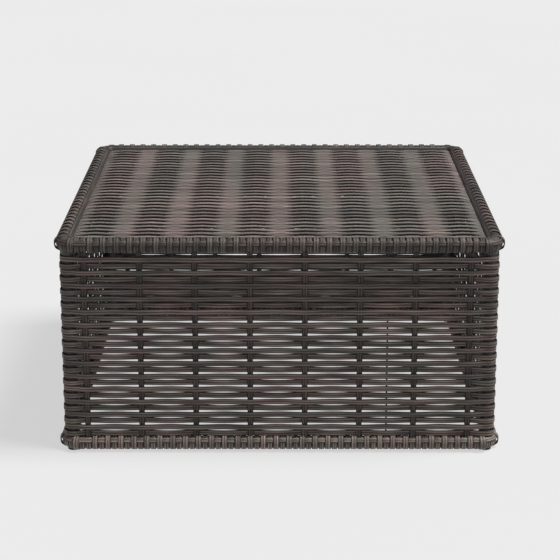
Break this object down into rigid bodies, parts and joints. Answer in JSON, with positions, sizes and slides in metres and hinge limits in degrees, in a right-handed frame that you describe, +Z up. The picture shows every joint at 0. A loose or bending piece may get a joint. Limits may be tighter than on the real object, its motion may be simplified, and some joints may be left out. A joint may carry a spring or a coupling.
{
  "type": "wicker coffee table",
  "caption": "Square low garden table: a tube frame covered by a plain weave of flat strands on its sides and top, with bound rims.",
  "frame": {"origin": "centre of the footprint, on the floor", "axes": "+Z up; -Y is the front; +X to the right seen from the front"},
  "size_m": [0.8, 0.8, 0.4],
  "materials": {
    "frame_paint": "dark powder coat, satin",
    "wire_paint": "dark powder coat, satin",
    "glide_plastic": "moulded, fine grain",
    "stake_strand": "flat ribbed strand, grey taupe, satin",
    "weaver_strand": "flat ribbed strand, grey taupe streaked with olive and mauve, satin",
    "binding_strand": "flat ribbed strand, grey taupe, satin"
  },
  "bodies": {
    "root": {"top_ring": "frame_paint", "bottom_ring": "frame_paint", "leg_front_left": "frame_paint", "leg_front_right": "frame_paint", "leg_back_left": "frame_paint", "leg_back_right": "frame_paint", "bar_front": "frame_paint", "bar_back": "frame_paint", "glide_front_left": "glide_plastic", "glide_front_right": "glide_plastic", "glide_back_left": "glide_plastic", "glide_back_right": "glide_plastic", "stakes_front": "stake_strand", "stakes_back": "stake_strand", "stakes_left": "stake_strand", "stakes_right": "stake_strand", "outer_weavers_front": "weaver_strand", "outer_weavers_back": "weaver_strand", "outer_weavers_left": "weaver_strand", "outer_weavers_right": "weaver_strand", "inner_weavers_front": "weaver_strand", "inner_weavers_back": "weaver_strand", "inner_weavers_left": "weaver_strand", "inner_weavers_right": "weaver_strand", "top_stakes": "stake_strand", "top_over_weavers": "weaver_strand", "top_under_weavers": "weaver_strand", "stay_wire": "wire_paint", "top_binding_front": "binding_strand", "top_binding_back": "binding_strand", "top_binding_left": "binding_strand", "top_binding_right": "binding_strand", "top_corner_front_left": "binding_strand", "top_corner_front_right": "binding_strand", "top_corner_back_left": "binding_strand", "top_corner_back_right": "binding_strand", "bottom_binding_front": "binding_strand", "bottom_binding_back": "binding_strand", "bottom_binding_left": "binding_strand", "bottom_binding_right": "binding_strand", "bottom_corner_front_left": "binding_strand", "bottom_corner_front_right": "binding_strand", "bottom_corner_back_left": "binding_strand", "bottom_corner_back_right": "binding_strand", "top_outer_edge": "binding_strand", "top_inner_edge": "binding_strand", "bottom_outer_edge": "binding_strand"}
  },
  "joints": []
}
